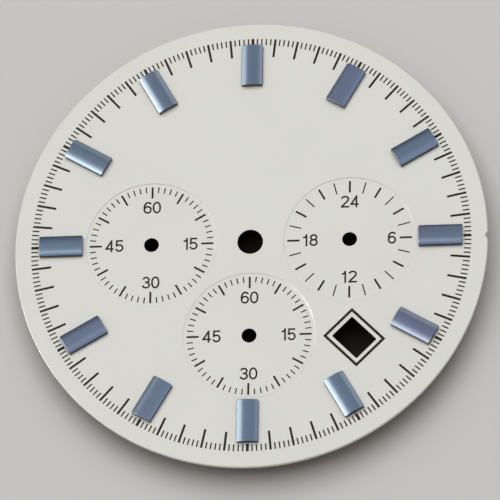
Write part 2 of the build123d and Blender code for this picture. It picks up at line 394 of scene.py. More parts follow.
def drawnCopper():
    look = copperFinish
    material, tree, inputs = startFinish("drawnCopper", look["shader"])
    streak = mask(tree, "patches", look["streakWidth"], look["streakLength"])
    patch = spread(tree, patches(tree, look["dullSize"]))
    share = calc(tree, "MULTIPLY", patch, spread(tree, streak, *look["streakShare"]))
    setColour(tree, inputs, mixColours(tree, share, look["bright"], look["dull"]))
    addGrain(tree, inputs, streak, look["roughness"], look["streakDepth"])
    return material


finishes = {
    "white_lacquer": whiteLacquer(),
    "index_metal": blueMetal(),
    "print_ink": brownInk(),
    "plate_brass": turnedBrass(),
    "foot_metal": drawnCopper(),
}
print("finishes made:", ", ".join(finishes))


# Mesh helpers


def smoothShade(mesh, sharpAngle=32):
    mesh.polygons.foreach_set("use_smooth", [True] * len(mesh.polygons))
    mesh.set_sharp_from_angle(angle=math.radians(sharpAngle))


def addObject(name, data):
    item = bpy.data.objects.new(name, data)
    bpy.context.scene.collection.objects.link(item)
    return item


def addPiece(name, mesh, slot, *replaced):
    piece = addObject(name, mesh)
    mesh.materials.clear()
    mesh.materials.append(finishes[slot])
    smoothShade(mesh)
    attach(piece, "root")
    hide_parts(*replaced)


def mergeMeshes(target, meshes):
    work = bmesh.new()
    for mesh in meshes:
        work.from_mesh(mesh)
    work.to_mesh(target)
    work.free()
    return target


class Shell:  # points and faces in millimetres, made of rings, flat fills and swept lines
    def __init__(self):
        self.points = []
        self.faces = []

    def ring(self, flatPoints, height):
        start = len(self.points)
        self.points += [(x, y, height) for x, y in flatPoints]
        return list(range(start, len(self.points)))

    def bridge(self, rings, closed=False):
        for first, second in zip(rings, rings[1:] + rings[:1] if closed else rings[1:]):
            for here in range(len(first)):
                after = (here + 1) % len(first)
                self.faces.append((first[here], first[after], second[after], second[here]))

    def sides(self, loop, profile):  # profile is a list of (growth of the loop, height)
        rings = [self.ring(loop(grow), height) for grow, height in profile]
        self.bridge(rings)
        return rings[0], rings[-1]

    def flat(self, *rings):  # the first ring is the outer edge, the others are holes
        order = [index for ring in rings for index in ring]
        corners = [[Vector(self.points[index]) for index in ring] for ring in rings]
        self.faces += [tuple(order[i] for i in corner) for corner in tessellate_polygon(corners)]

    def sweep(self, path, section, closed=False, mitreLimit=0.5):
        stations = []
        count = len(path)
        for here, (x, y) in enumerate(path):
            before = path[here - 1] if closed or here else path[0]
            after = path[(here + 1) % count] if closed or here < count - 1 else path[-1]
            arrive, leave = Vector((x, y)) - Vector(before), Vector(after) - Vector((x, y))
            arrive = (arrive if arrive.length else leave).normalized()
            leave = (leave if leave.length else arrive).normalized()
            along = (arrive + leave).normalized()
            across = Vector((along.y, -along.x)) / max(along.dot(leave), mitreLimit)
            start = len(self.points)
            for side, height in section:  # a closed list of (sideways, height)
                self.points.append((x + across.x * side, y + across.y * side, height))
            stations.append(list(range(start, len(self.points))))
        self.bridge(stations, closed)
        if not closed:
            self.faces += [tuple(stations[0]), tuple(reversed(stations[-1]))]

    def mesh(self, name):
        mesh = bpy.data.meshes.new(name)
        points = [tuple(value * mm for value in point) for point in self.points]
        mesh.from_pydata(points, [], self.faces)
        work = bmesh.new()
        work.from_mesh(mesh)
        bmesh.ops.recalc_face_normals(work, faces=work.faces)
        work.to_mesh(mesh)
        work.free()
        return mesh


def softCorners(points, radii, steps=5):  # rounds each inner corner of a line with its own radius
    shape = [points[0]]
    for before, corner, after, radius in zip(points, points[1:], points[2:], radii):
        corner = Vector(corner)
        if not radius:
            shape.append(tuple(corner))
            continue
        back = (Vector(before) - corner).normalized()
        ahead = (Vector(after) - corner).normalized()
        half = back.angle(ahead) / 2
        centre = corner + (back + ahead).normalized() * radius / math.sin(half)
        start = corner + back * radius / math.tan(half) - centre
        end = corner + ahead * radius / math.tan(half) - centre
        for step in range(steps + 1):
            shape.append(tuple(centre + start.slerp(end, step / steps) * radius))
    shape.append(points[-1])
    return shape


def turnPoints(centre, radius, turns):
    return [(centre[0] + radius * math.cos(t), centre[1] + radius * math.sin(t)) for t in turns]


def circleLoop(centre, radius, count):
    turns = [2 * math.pi * step / count for step in range(count)]
    return lambda grow: turnPoints(centre, radius + grow, turns)


def arcPoints(centre, radius, start, end, steps):
    turns = [math.radians(start + (end - start) * step / steps) for step in range(steps + 1)]
    return turnPoints(centre, radius, turns)


# Plate and coat

plateShape = {
    "bareRimStep": coatThickness,
    "rimRadius": 0.05,
    "backRimRadius": 0.03,
    "coatFootRadius": 0.015,
    "rimBand": 0.10,
    "rimSteps": 720,
    "notchWidth": 0.60,
    "notchDepth": 0.20,
    "notchTip": 0.08,
    "notchShoulder": 0.20,
    "notchSteps": 8,
    "boreSteps": 128,
    "boreLip": 0.02,
    "boreBand": 0.05,
    "backChamfer": 0.03,
}

recessShape = {
    "scaleMargin": 0.245,
    "slopes": {"left": 0.04, "bottom": 0.08, "right": 0.04},
    "lipRadii": {"left": 0.02, "bottom": 0.08, "right": 0.015},
    "footRadius": 0.04,
    "band": 0.12,
    "steps": 320,
}

windowShape = {
    "length": 2.48,
    "width": 2.01,
    "corner": 0.09,
    "cornerSteps": 8,
    "bevelWidth": 0.25,
    "bevelDepth": 0.03,
    "frameLine": 0.195,
    "angle": -45.0,
    "lipRadius": 0.06,
    "band": 0.05,
}

rivetShape = {
    "hole": 0.20,
    "foot": 0.18,
    "sink": 0.10,
    "inset": 0.64,
    "setBack": 0.02,
    "headEdge": 0.02,
    "capRadius": 0.01,
    "steps": 32,
}

footShape = {
    "seatClearance": 0.01,
    "flangeRadius": 0.70,
    "flangeThickness": 0.10,
    "flangeEdges": (0.01, 0.02),
    "filletRadius": 0.09,
    "tipChamfer": 0.10,
    "tipRadius": 0.04,
    "capRadius": 0.02,
    "steps": 96,
}

windowCentre = (lowHigh("print_date_frame")[0] + lowHigh("print_date_frame")[1]) / 2
windowTurn = Matrix.Rotation(math.radians(windowShape["angle"]), 2)
recessRadius = scaleRadius + recessShape["scaleMargin"]


def rimLoop(grow):  # a disc with a small V notch at three o'clock, round at its tip and shoulders
    look = plateShape
    radius = dialRadius + grow
    flank = math.atan2(look["notchWidth"] / 2, look["notchDepth"])
    tip = dialRadius - look["notchDepth"] + grow / math.sin(flank)
    tipRadius, shoulder = look["notchTip"] - grow, look["notchShoulder"] + grow
    start = Vector((tip - math.sin(flank) * shoulder, math.cos(flank) * shoulder))
    along = -tip * math.cos(flank)
    along += math.sqrt(along ** 2 - start.length_squared + (radius - shoulder) ** 2)
    centre = start + Vector((math.cos(flank), math.sin(flank))) * along
    lean, slant = math.degrees(math.atan2(centre.y, centre.x)), math.degrees(flank)
    tipCentre = (tip + tipRadius / math.sin(flank), 0)
    upper = arcPoints(tipCentre, tipRadius, 180, 90 + slant, look["notchSteps"])
    upper += arcPoints(centre, shoulder, slant - 90, lean, look["notchSteps"])
    around = arcPoints((0, 0), radius, lean, 360 - lean, look["rimSteps"])[1:-1]
    return upper + around + [(x, -y) for x, y in reversed(upper[1:])]


def placeInWindow(points):
    return [tuple(windowTurn @ Vector(point) + windowCentre.xy) for point in points]


def windowLoop(grow):
    look = windowShape
    reachX = look["length"] / 2 + grow - look["corner"]
    reachY = look["width"] / 2 + grow - look["corner"]
    outline = []
    for quarter, (sideX, sideY) in enumerate(((1, 1), (-1, 1), (-1, -1), (1, -1))):
        centre, start = (sideX * reachX, sideY * reachY), 90 * quarter
        outline += arcPoints(centre, look["corner"], start, start + 90, look["cornerSteps"])
    return placeInWindow(outline)


def hourTurn(hour):
    return math.radians(90 - 30 * hour)


def rivetCentres(hour):
    for reach in (indexLow.y + rivetShape["inset"], indexHigh.y - rivetShape["inset"]):
        yield turnPoints((0, 0), reach, [hourTurn(hour)])[0]


def rivetHoles():  # each hole with its own key
    for hour in range(12):
        for number, centre in enumerate(rivetCentres(hour)):
            yield (hour, number), circleLoop(centre, rivetShape["hole"], rivetShape["steps"])


def bores(plainHeight, floorHeight):  # each bore with the height of its upper edge
    steps = plateShape["boreSteps"]
    yield "centre", circleLoop((0, 0), centreRadius, steps), plainHeight
    for side, centre in smallDials.items():
        yield side, circleLoop(centre, smallRadius, steps), floorHeight


def recessProfile(side, lower):
    look = recessShape
    half, band = look["slopes"][side] / 2, look["band"]
    line = [(half + band, coatTop), (half, coatTop), (-half, floorTop), (-half - band, floorTop)]
    shape = softCorners(line, [look["lipRadii"][side], look["footRadius"]])
    return [(grow, height - lower) for grow, height in shape]


def frontSkin(shell, lower, outer, holes):  # the front face or the face under the coat
    rims = {}
    for side, centre in smallDials.items():
        edge = circleLoop(centre, recessRadius, recessShape["steps"])
        top, foot = shell.sides(edge, recessProfile(side, lower))
        shell.flat(foot, holes.pop(side))
        rims[side] = top
    shell.flat(outer, *holes.values(), *rims.values())


def lacquerCoat():
    shell = Shell()
    look, cut = plateShape, windowShape
    band, under = -look["rimBand"], -coatThickness
    line = [(band, coatTop), (0, coatTop), (0, coatLow)]
    line += [(under, coatLow), (under, plateTop), (band, plateTop)]
    radii = [look["rimRadius"] + coatThickness, look["coatFootRadius"], 0, look["rimRadius"]]
    outerTop, outerUnder = shell.sides(rimLoop, softCorners(line, radii))
    topHoles, underHoles = {}, {}
    for name, loop, height in bores(coatTop, floorTop):
        line = [(look["boreBand"], height), (0, height), (0, height - coatThickness)]
        topHoles[name], underHoles[name] = shell.sides(loop, softCorners(line, [look["boreLip"]]))
    bevel, sunk = cut["bevelWidth"], cut["bevelDepth"]
    edge = bevel + cut["band"]
    line = [(edge, coatTop), (bevel, coatTop), (0, coatTop - sunk)]
    line += [(0, plateTop - sunk), (bevel, plateTop), (edge, plateTop)]
    radii = [cut["lipRadius"], look["boreLip"], 0, cut["lipRadius"]]
    topHoles["window"], underHoles["window"] = shell.sides(windowLoop, softCorners(line, radii))
    for key, loop in rivetHoles():
        topHoles[key], underHoles[key] = shell.sides(loop, [(0, coatTop), (0, plateTop)])
    frontSkin(shell, 0, outerTop, topHoles)
    frontSkin(shell, coatThickness, outerUnder, underHoles)
    addPiece("lacquerCoat", shell.mesh("lacquerCoat"), "white_lacquer", "lacquer_coat")


def dialPlate():
    shell = Shell()
    look, cut = plateShape, windowShape
    step, band = look["bareRimStep"], look["rimBand"]
    line = [(-band, plateTop), (-step, plateTop), (-step, 0), (-band - step, 0)]
    radii = [look["rimRadius"], look["backRimRadius"]]
    outerTop, outerBack = shell.sides(rimLoop, softCorners(line, radii))
    topHoles, backHoles = {}, {}
    for name, loop, height in bores(plateTop, floorTop - coatThickness):
        line = [(0, height), (0, 0), (look["boreBand"], 0)]
        profile = softCorners(line, [look["backChamfer"]])
        topHoles[name], backHoles[name] = shell.sides(loop, profile)
    bevel, sunk = cut["bevelWidth"], cut["bevelDepth"]
    line = [(bevel + cut["band"], plateTop), (bevel, plateTop)]
    line += [(0, plateTop - sunk), (0, 0), (look["boreBand"], 0)]
    radii = [cut["lipRadius"], 0, look["backChamfer"]]
    topHoles["window"], backHoles["window"] = shell.sides(windowLoop, softCorners(line, radii))
    sink = rivetShape["sink"]
    for key, loop in rivetHoles():
        topHoles[key], backHoles[key] = shell.sides(loop, [(0, plateTop), (0, sink), (sink, 0)])
    seatRadius = footShape["flangeRadius"] + footShape["seatClearance"]
    seatDepth = footShape["flangeThickness"] + footShape["seatClearance"]
    for name in footNames:
        seat = circleLoop(mountPoint(name), seatRadius, footShape["steps"])
        backHoles[name], seatFloor = shell.sides(seat, [(0, 0), (0, seatDepth)])
        shell.flat(seatFloor)
    frontSkin(shell, coatThickness, outerTop, topHoles)
    shell.flat(outerBack, *backHoles.values())
    addPiece("dialPlate", shell.mesh("dialPlate"), "plate_brass", "dial_plate")


lacquerCoat()
dialPlate()
print("plate and coat built")


# Dial feet


def dialFoot(name):
    look = footShape
    radius, length = (mounts[name]["dims"][size] for size in ("r_mm", "length_mm"))
    flange, thickness = look["flangeRadius"], look["flangeThickness"]
    cap, tip, tipRadius = look["capRadius"], look["tipChamfer"], look["tipRadius"]
    line = [(cap, thickness), (flange, thickness), (flange, 0), (radius, 0)]
    line += [(radius, tip - length), (radius - tip, -length), (cap, -length)]
    radii = [*look["flangeEdges"], look["filletRadius"], tipRadius, tipRadius]
    shell = Shell()
    loop = circleLoop(mountPoint(name), 0, look["steps"])
    for end in shell.sides(loop, softCorners(line, radii)):
        shell.flat(end)
    title = "dialFoot" + name[-1]
    addPiece(title, shell.mesh(title), "foot_metal", name)


for name in footNames:
    dialFoot(name)
print("dial feet built")


# Geometry node trees: a crowned bar, and the hour index and ring of marks made from it

barInputs = {
    "Length": 1.0, "Width": 1.0, "Wall": 0.1, "Rise": 0.1, "Corner": 0.1, "Softness": 0.1,
    "Along": "NodeSocketInt", "Across": "NodeSocketInt",
}


def fieldPlace(tree):
    return splitParts(tree, addNode(tree, "GeometryNodeInputPosition").outputs[0])


def setPlace(tree, geometry, place, selection=True):
    values = {"Geometry": geometry, "Selection": selection, "Position": place}
    return addNode(tree, "GeometryNodeSetPosition", values).outputs[0]


def transform(tree, geometry, how, amount):
    values = {"Geometry": geometry, how: amount}
    return addNode(tree, "GeometryNodeTransform", values).outputs[0]


def endTree(tree, geometry, finish, result):
    real = addNode(tree, "GeometryNodeRealizeInstances", {"Geometry": geometry}).outputs[0]
    values = {"Geometry": real, "Material": finish}
    tree.links.new(addNode(tree, "GeometryNodeSetMaterial", values).outputs[0], result)


def closeBar(tree, top, low, weldDistance=1e-8):  # walls go from the top's border to the ground
    low = addNode(tree, "GeometryNodeFlipFaces", {"Mesh": low}).outputs[0]
    around = addNode(tree, "GeometryNodeInputMeshEdgeNeighbors").outputs[0]
    onBorder = calc(tree, "LESS_THAN", around, 1.5)  # an edge with one face only
    values = {"Mesh": top, "Selection": onBorder, "Offset Scale": 0.0}
    wall = addNode(tree, "GeometryNodeExtrudeMesh", values, mode="EDGES").outputs
    foot = joinParts(tree, *fieldPlace(tree)[:2])
    joined = addNode(tree, "GeometryNodeJoinGeometry")
    for part in (low, setPlace(tree, wall["Mesh"], foot, wall["Top"])):
        tree.links.new(part, joined.inputs[0])
    values = {"Geometry": joined.outputs[0], "Distance": weldDistance}
    return addNode(tree, "GeometryNodeMergeByDistance", values).outputs[0]


def buildSoftBar():
    crownPower, tiny = 3.0, 1e-9
    tree, given, result = newGroup("softBar", "GeometryNodeTree", barInputs)
    along, across = given["Along"], given["Across"]
    values = {"Size X": 2.0, "Size Y": 2.0, "Vertices X": along, "Vertices Y": across}
    grid = addNode(tree, "GeometryNodeMeshGrid", values).outputs[0]
    signs, sides, edges, overs = [], [], [], []
    for part, size in zip(fieldPlace(tree), ("Length", "Width")):
        half = calc(tree, "MULTIPLY", given[size], 0.5)
        eased = calc(tree, "SINE", calc(tree, "MULTIPLY", part, math.pi / 2))  # closer at edges
        side = calc(tree, "MULTIPLY", calc(tree, "ABSOLUTE", eased), half)
        signs.append(calc(tree, "SIGN", part))
        sides.append(side)
        edges.append(calc(tree, "SUBTRACT", half, side))
        over = calc(tree, "SUBTRACT", side, calc(tree, "SUBTRACT", half, given["Corner"]))
        overs.append(calc(tree, "MAXIMUM", over, 0.0))
    squares = [calc(tree, "POWER", over, 2.0) for over in overs]
    farther = calc(tree, "MAXIMUM", *overs)
    reach = calc(tree, "ADD", calc(tree, "SQRT", calc(tree, "ADD", *squares)), tiny)
    pull = calc(tree, "DIVIDE", farther, reach)  # bends a square corner onto its arc
    inCorner = calc(tree, "GREATER_THAN", farther, tiny)
    pull = calc(tree, "MULTIPLY", pull, inCorner)
    pull = calc(tree, "ADD", pull, calc(tree, "SUBTRACT", 1.0, inCorner))
    flat = []
    for sign, side, over in zip(signs, sides, overs):
        pulled = calc(tree, "MULTIPLY", over, pull)
        pulled = calc(tree, "ADD", calc(tree, "SUBTRACT", side, over), pulled)
        flat.append(calc(tree, "MULTIPLY", sign, pulled))
    near = calc(tree, "DIVIDE", calc(tree, "MINIMUM", *edges), given["Softness"])
    steep = clamp(tree, calc(tree, "SUBTRACT", 1.0, near))
    root = calc(tree, "SQRT", calc(tree, "SUBTRACT", 1.0, calc(tree, "POWER", steep, 2.0)))
    drop = calc(tree, "MULTIPLY", given["Softness"], calc(tree, "SUBTRACT", 1.0, root))
    halfWidth = calc(tree, "MULTIPLY", given["Width"], 0.5)
    share = calc(tree, "DIVIDE", calc(tree, "ABSOLUTE", flat[1]), halfWidth)
    crown = calc(tree, "SUBTRACT", 1.0, calc(tree, "POWER", share, crownPower))
    crown = calc(tree, "MULTIPLY", given["Rise"], crown)
    height = calc(tree, "SUBTRACT", calc(tree, "ADD", given["Wall"], crown), drop)
    top = setPlace(tree, grid, joinParts(tree, *flat, height))
    low = setPlace(tree, grid, joinParts(tree, *flat))
    tree.links.new(closeBar(tree, top, low), result)
    return tree


def buildHourIndex(softBar):
    sizes = {
        **barInputs,
        "Inner Radius": 1.0, "Height": 0.0, "Turn": 0.0, "Violet Share": 0.0,
        "Finish": "NodeSocketMaterial",
    }
    tree, given, result = newGroup("hourIndex", "GeometryNodeTree", sizes)
    values = {label: given[label] for label in barInputs}
    bar = addNode(tree, "GeometryNodeGroup", values, node_tree=softBar).outputs[0]
    middle = calc(tree, "MULTIPLY", given["Length"], 0.5)
    middle = calc(tree, "ADD", given["Inner Radius"], middle)
    place = joinParts(tree, middle, z=given["Height"])
    moved = transform(tree, bar, "Translation", place)
    turned = transform(tree, moved, "Rotation", joinParts(tree, z=given["Turn"]))
    values = {"Geometry": turned, "Name": "violetShare", "Value": given["Violet Share"]}
    named = addNode(tree, "GeometryNodeStoreNamedAttribute", values, data_type="FLOAT").outputs[0]
    endTree(tree, named, given["Finish"], result)
    return tree


def buildMarkRing(softBar):
    wallShare, gridPoints = 0.75, 5
    sizes = {
        "Count": "NodeSocketInt", "Skip Every": "NodeSocketInt", "Length": 1.0, "Width": 0.1,
        "Outer Radius": 1.0, "Thickness": 0.02, "Softness": 0.01, "Centre": "NodeSocketVector",
        "Finish": "NodeSocketMaterial",
    }
    tree, given, result = newGroup("markRing", "GeometryNodeTree", sizes)
    bar = addNode(tree, "GeometryNodeGroup", {
        "Length": given["Length"],
        "Width": given["Width"],
        "Wall": calc(tree, "MULTIPLY", given["Thickness"], wallShare),
        "Rise": calc(tree, "MULTIPLY", given["Thickness"], 1 - wallShare),
        "Corner": given["Softness"],
        "Softness": given["Softness"],
        "Along": gridPoints,
        "Across": gridPoints,
    }, node_tree=softBar).outputs[0]
    step = addNode(tree, "GeometryNodeInputIndex").outputs[0]
    spacing = calc(tree, "DIVIDE", 2 * math.pi, given["Count"])
    angle = calc(tree, "SUBTRACT", math.pi / 2, calc(tree, "MULTIPLY", spacing, step))
    middle = calc(tree, "MULTIPLY", given["Length"], 0.5)
    middle = calc(tree, "SUBTRACT", given["Outer Radius"], middle)
    x, y = (calc(tree, "MULTIPLY", calc(tree, way, angle), middle) for way in ("COSINE", "SINE"))
    values = {"Count": given["Count"], "Position": joinParts(tree, x, y)}
    points = addNode(tree, "GeometryNodePoints", values).outputs[0]
    every = calc(tree, "MAXIMUM", given["Skip Every"], 1.0)
    skipped = calc(tree, "LESS_THAN", calc(tree, "FLOORED_MODULO", step, every), 0.5)
    skips = calc(tree, "GREATER_THAN", given["Skip Every"], 0.5)
    values = {"Geometry": points, "Selection": calc(tree, "MULTIPLY", skipped, skips)}
    kept = addNode(tree, "GeometryNodeDeleteGeometry", values, domain="POINT").outputs[0]
    parts = fieldPlace(tree)
    outward = joinParts(tree, z=calc(tree, "ARCTAN2", parts[1], parts[0]))
    values = {"Points": kept, "Instance": bar, "Rotation": outward}
    copies = addNode(tree, "GeometryNodeInstanceOnPoints", values).outputs[0]
    moved = transform(tree, copies, "Translation", given["Centre"])
    endTree(tree, moved, given["Finish"], result)
    return tree


def runTree(tree, values):  # evaluates a tree with its inputs set and returns a plain mesh
    holder = addObject("holder", bpy.data.meshes.new("holder"))
    modifier = holder.modifiers.new("tree", "NODES")
    modifier.node_group = tree
    for item in tree.interface.items_tree:
        if item.in_out == "INPUT":
            modifier[item.identifier] = values[item.name]
    depsgraph = bpy.context.evaluated_depsgraph_get()
    mesh = bpy.data.meshes.new_from_object(
        holder.evaluated_get(depsgraph), preserve_all_data_layers=True, depsgraph=depsgraph
    )
    holder.modifiers.remove(modifier)
    bpy.data.objects.remove(holder)
    return mesh


softBar = buildSoftBar()
hourIndex = buildHourIndex(softBar)
markRing = buildMarkRing(softBar)


# Applied indices

indexShape = {
    "wall": 0.29,
    "corner": 0.08,
    "softness": 0.025,
    "pointsAlong": 56,
    "pointsAcross": 48,
    "violetShares": [0.1, 0.65, 0.1, 0.5, 0.65, 0.0, 0.15, 0.3, 0.6, 0.0, 0.0, 0.3],
}


def rivetFeet(hour):  # the two riveted feet of an index
    look = rivetShape
    cap, low, foot = look["capRadius"], look["setBack"], look["foot"]
    headRadius = foot + look["sink"] - low
    line = [(cap, low), (headRadius, low), (foot, look["sink"]), (foot, coatTop), (cap, coatTop)]
    shell = Shell()
    for centre in rivetCentres(hour):
        loop = circleLoop(centre, 0, look["steps"])
        for end in shell.sides(loop, softCorners(line, [look["headEdge"], 0, 0])):
            shell.flat(end)
    return shell.mesh("feet")


def appliedIndex(hour):
    look = indexShape
    bar = runTree(hourIndex, {
        "Length": (indexHigh.y - indexLow.y) * mm,
        "Width": (indexHigh.x - indexLow.x) * mm,
        "Wall": look["wall"] * mm,
        "Rise": (indexHigh.z - coatTop - look["wall"]) * mm,
        "Corner": look["corner"] * mm,
        "Softness": look["softness"] * mm,
        "Along": look["pointsAlong"],
        "Across": look["pointsAcross"],
        "Inner Radius": indexLow.y * mm,
        "Height": coatTop * mm,
        "Turn": hourTurn(hour),
        "Violet Share": look["violetShares"][hour],
        "Finish": finishes["index_metal"],
    })
    number = f"{hour or 12:02d}"
    mesh = mergeMeshes(bar, [bar, rivetFeet(hour)])
    addPiece("index" + number, mesh, "index_metal", "index_" + number)


for hour in range(12):
    appliedIndex(hour)
print("indices built")


# Printed scales

indexToMark = 0.06
hourLength = trackRadius - indexHigh.y - indexToMark

markShape = {
    "minute": {"count": 60, "skipEvery": 5, "length": 1.41, "width": 0.166},
    "fifth": {"count": 300, "skipEvery": 5, "length": 0.50, "width": 0.10},
    "hour": {"count": 12, "skipEvery": 0, "length": hourLength, "width": 0.205},
    "long": {"count": 12, "skipEvery": 0, "length": 0.88, "width": 0.146},
    "short": {"count": 60, "skipEvery": 5, "length": 0.44, "width": 0.088},
    "oddHour": {"count": 24, "skipEvery": 2, "length": 0.88, "width": 0.09},
}

scaleMarks = {
    "left": ("long", "short"),
    "bottom": ("long", "short"),
    "right": ("long", "oddHour"),
}


def inkMarks(kind, centre, radius, height):
    look = markShape[kind]
    return runTree(markRing, {
        "Count": look["count"],
        "Skip Every": look["skipEvery"],
        "Length": look["length"] * mm,
        "Width": look["width"] * mm,
        "Outer Radius": radius * mm,
        "Thickness": inkThickness * mm,
        "Softness": inkThickness / 2 * mm,
        "Centre": (centre[0] * mm, centre[1] * mm, height * mm),
        "Finish": finishes["print_ink"],
    })


for kind in ("minute", "fifth", "hour"):
    mesh = inkMarks(kind, (0, 0), trackRadius, coatTop)
    addPiece(kind + "Marks", mesh, "print_ink", f"print_{kind}_marks")
for side, kinds in scaleMarks.items():
    rings = [inkMarks(kind, smallDials[side], scaleRadius, floorTop) for kind in kinds]
    mesh = mergeMeshes(bpy.data.meshes.new(side + "Scale"), rings)
    addPiece(side + "Scale", mesh, "print_ink", f"print_{side}_scale")
print("printed marks built")


# Numerals and date frame, drawn as raised lines of ink

inkShape = {"edgeHeight": 0.5, "shoulderPlace": 0.75, "shoulderHeight": 0.85}

numeralShape = {
    "height": 0.91,
    "width": 0.60,
    "oneWidth": 0.31,
    "stroke": 0.124,
    "waist": 0.53,
    "headShare": 0.88,
    "toScale": 0.255,
    "pairGaps": {
        "12": 0.28, "15": 0.17, "18": 0.25, "24": 0.12, "30": 0.11, "45": 0.18, "60": 0.11,
    },
    "texts": {
        "left": ("60", "15", "30", "45"),
        "bottom": ("60", "15", "30", "45"),
        "right": ("24", "6", "12", "18"),
    },
}

# Shares of a digit's height or width; a pair is where a bow starts and how far it turns.
digitShape = {
    "0": {"flank": 0.06},
    "1": {"flag": 0.42, "drop": 0.25},
    "2": {"neck": 0.72, "lean": -25, "head": (172, -197)},
    "3": {"head": (168, -258), "belly": (90, -260), "bar": 0.74},
    "4": {"stem": 0.74, "bar": 0.27},
    "5": {"bowl": 0.66, "belly": (150, -315), "corner": 0.10, "flag": 0.93},
    "6": {"bowl": 0.59, "spine": (195, -105), "hook": 0.77, "lip": (90, -78)},
}


def bowPath(centre, reachX, reachY, start, turn, stepTurn=7, fewest=6):
    steps = max(fewest, round(abs(turn) / stepTurn))
    closed = abs(turn) >= 360
    path = []
    for step in range(steps if closed else steps + 1):
        angle = math.radians(start + turn * step / steps)
        path.append((centre[0] + reachX * math.cos(angle), centre[1] + reachY * math.sin(angle)))
    return path, closed


def linePath(*points):
    return list(points), False


def easedPath(start, end, heading, steps=8):  # leaves and arrives along the same heading
    start, end, heading = Vector(start), Vector(end), Vector(heading).normalized()
    pull = heading * (end - start).length / 3
    corners = (start, start + pull, end - pull, end)
    path = []
    for step in range(steps + 1):
        late = step / steps
        early = 1 - late
        shares = (early ** 3, 3 * late * early ** 2, 3 * late ** 2 * early, late ** 3)
        parts = (corner * share for corner, share in zip(corners, shares))
        path.append(tuple(sum(parts, Vector((0, 0)))))
    return path, False


def digitStrokes(digit):
    look, form = numeralShape, digitShape.get(digit)
    height, width = look["height"], look["width"]
    half = look["stroke"] / 2
    middle, reach, top = width / 2, width / 2 - half, height - half
    waist = height * look["waist"]
    upper, lower = (top - waist) / 2, (waist - half) / 2
    head, belly = (middle, waist + upper), (middle, waist - lower)
    headReach = reach * look["headShare"]
    if digit == "0":
        flank = height * form["flank"]
        rise = top - height / 2 - flank
        cap = bowPath((middle, height / 2 + flank), reach, rise, 0, 180)[0]
        cup = bowPath((middle, height / 2 - flank), reach, rise, 180, 180)[0]
        return [(cap + cup, True)]
    if digit == "1":
        stem = look["oneWidth"] - half
        flag, drop = stem * form["flag"], height * form["drop"]
        lift = bowPath((flag, height), stem - flag, drop, 0, -90)
        tip = linePath((0, height - drop), (flag, height - drop))
        return [linePath((stem, 0), (stem, height)), lift, tip]
    if digit == "2":
        neck, lean = (middle, height * form["neck"]), math.radians(form["lean"])
        rise = top - neck[1]
        bow = bowPath(neck, reach, rise, *form["head"])
        heading = (reach * math.sin(lean), -rise * math.cos(lean))
        tail = easedPath(bow[0][-1], (half, half), heading)
        return [bow, tail, linePath((0, half), (width, half))]
    if digit == "3":
        bow = bowPath(head, headReach, upper, *form["head"])
        bar = linePath((middle * form["bar"], waist), (middle, waist))
        return [bow, bowPath(belly, reach, lower, *form["belly"]), bar]
    if digit == "4":
        stem, bar = width * form["stem"], height * form["bar"]
        slope = linePath((half, bar), (stem, top))
        return [slope, linePath((0, bar), (width, bar)), linePath((stem, 0), (stem, height))]
    if digit == "5":
        bowl = (height * form["bowl"] - 2 * half) / 2
        bow = bowPath((middle, half + bowl), reach, bowl, *form["belly"])
        corner = (half + width * form["corner"], top)
        flag = linePath((corner[0] - half, top), (width * form["flag"], top))
        return [bow, linePath(bow[0][0], corner), flag]
    if digit == "6":
        bowl = (height * form["bowl"] - half) / 2
        bow = bowPath((middle, half + bowl), reach, bowl, 0, 360)
        spine = bowPath((middle, height / 2), reach, top - height / 2, *form["spine"])
        hook = height * form["hook"]
        return [bow, spine, bowPath((middle, hook), reach, top - hook, *form["lip"])]
    return [bowPath(head, headReach, upper, 0, 360), bowPath(belly, reach, lower, 0, 360)]


def inkSection(width, height):  # a low dome, flat underneath
    look = inkShape
    half, thick = width / 2, inkThickness
    shoulder = (-half * look["shoulderPlace"], thick * look["shoulderHeight"])
    side = [(-half, 0), (-half, thick * look["edgeHeight"]), shoulder]
    shape = side + [(0, thick)] + [(-x, z) for x, z in reversed(side)]
    return [(x, height + z) for x, z in shape]


def dialNumerals(side):
    look = numeralShape
    height, width = look["height"], look["width"]
    centre = smallDials[side]
    section = inkSection(look["stroke"], floorTop)
    reach = scaleRadius - markShape["long"]["length"] - look["toScale"]
    shell = Shell()
    for place, text in enumerate(look["texts"][side]):
        total = look["oneWidth"] if text[0] == "1" else width
        starts = [0]
        if len(text) == 2:
            starts.append(total + width * look["pairGaps"][text])
            total = starts[1] + width
        tall, wide = reach - height / 2, reach - total / 2
        x, y = ((0, tall), (wide, 0), (0, -tall), (-wide, 0))[place]
        corner = (centre[0] + x - total / 2, centre[1] + y - height / 2)
        for start, digit in zip(starts, text):
            for path, closed in digitStrokes(digit):
                points = [(corner[0] + start + px, corner[1] + py) for px, py in path]
                shell.sweep(points, section, closed)
    title = side + "Numerals"
    addPiece(title, shell.mesh(title), "print_ink", f"print_{side}_numerals")


def dateFrame():
    cut = windowShape
    edge = cut["bevelWidth"] + cut["frameLine"] / 2
    x, y = cut["length"] / 2 + edge, cut["width"] / 2 + edge
    path = placeInWindow([(x, y), (-x, y), (-x, -y), (x, -y)])
    shell = Shell()
    shell.sweep(path, inkSection(cut["frameLine"], coatTop), closed=True)
    addPiece("dateFrame", shell.mesh("dateFrame"), "print_ink", "print_date_frame")


for side in smallDials:
    dialNumerals(side)
dateFrame()
print("numerals and date frame drawn")


# Studio: pale floor with a dark disc of painted shade under the dial, soft lamps and the camera

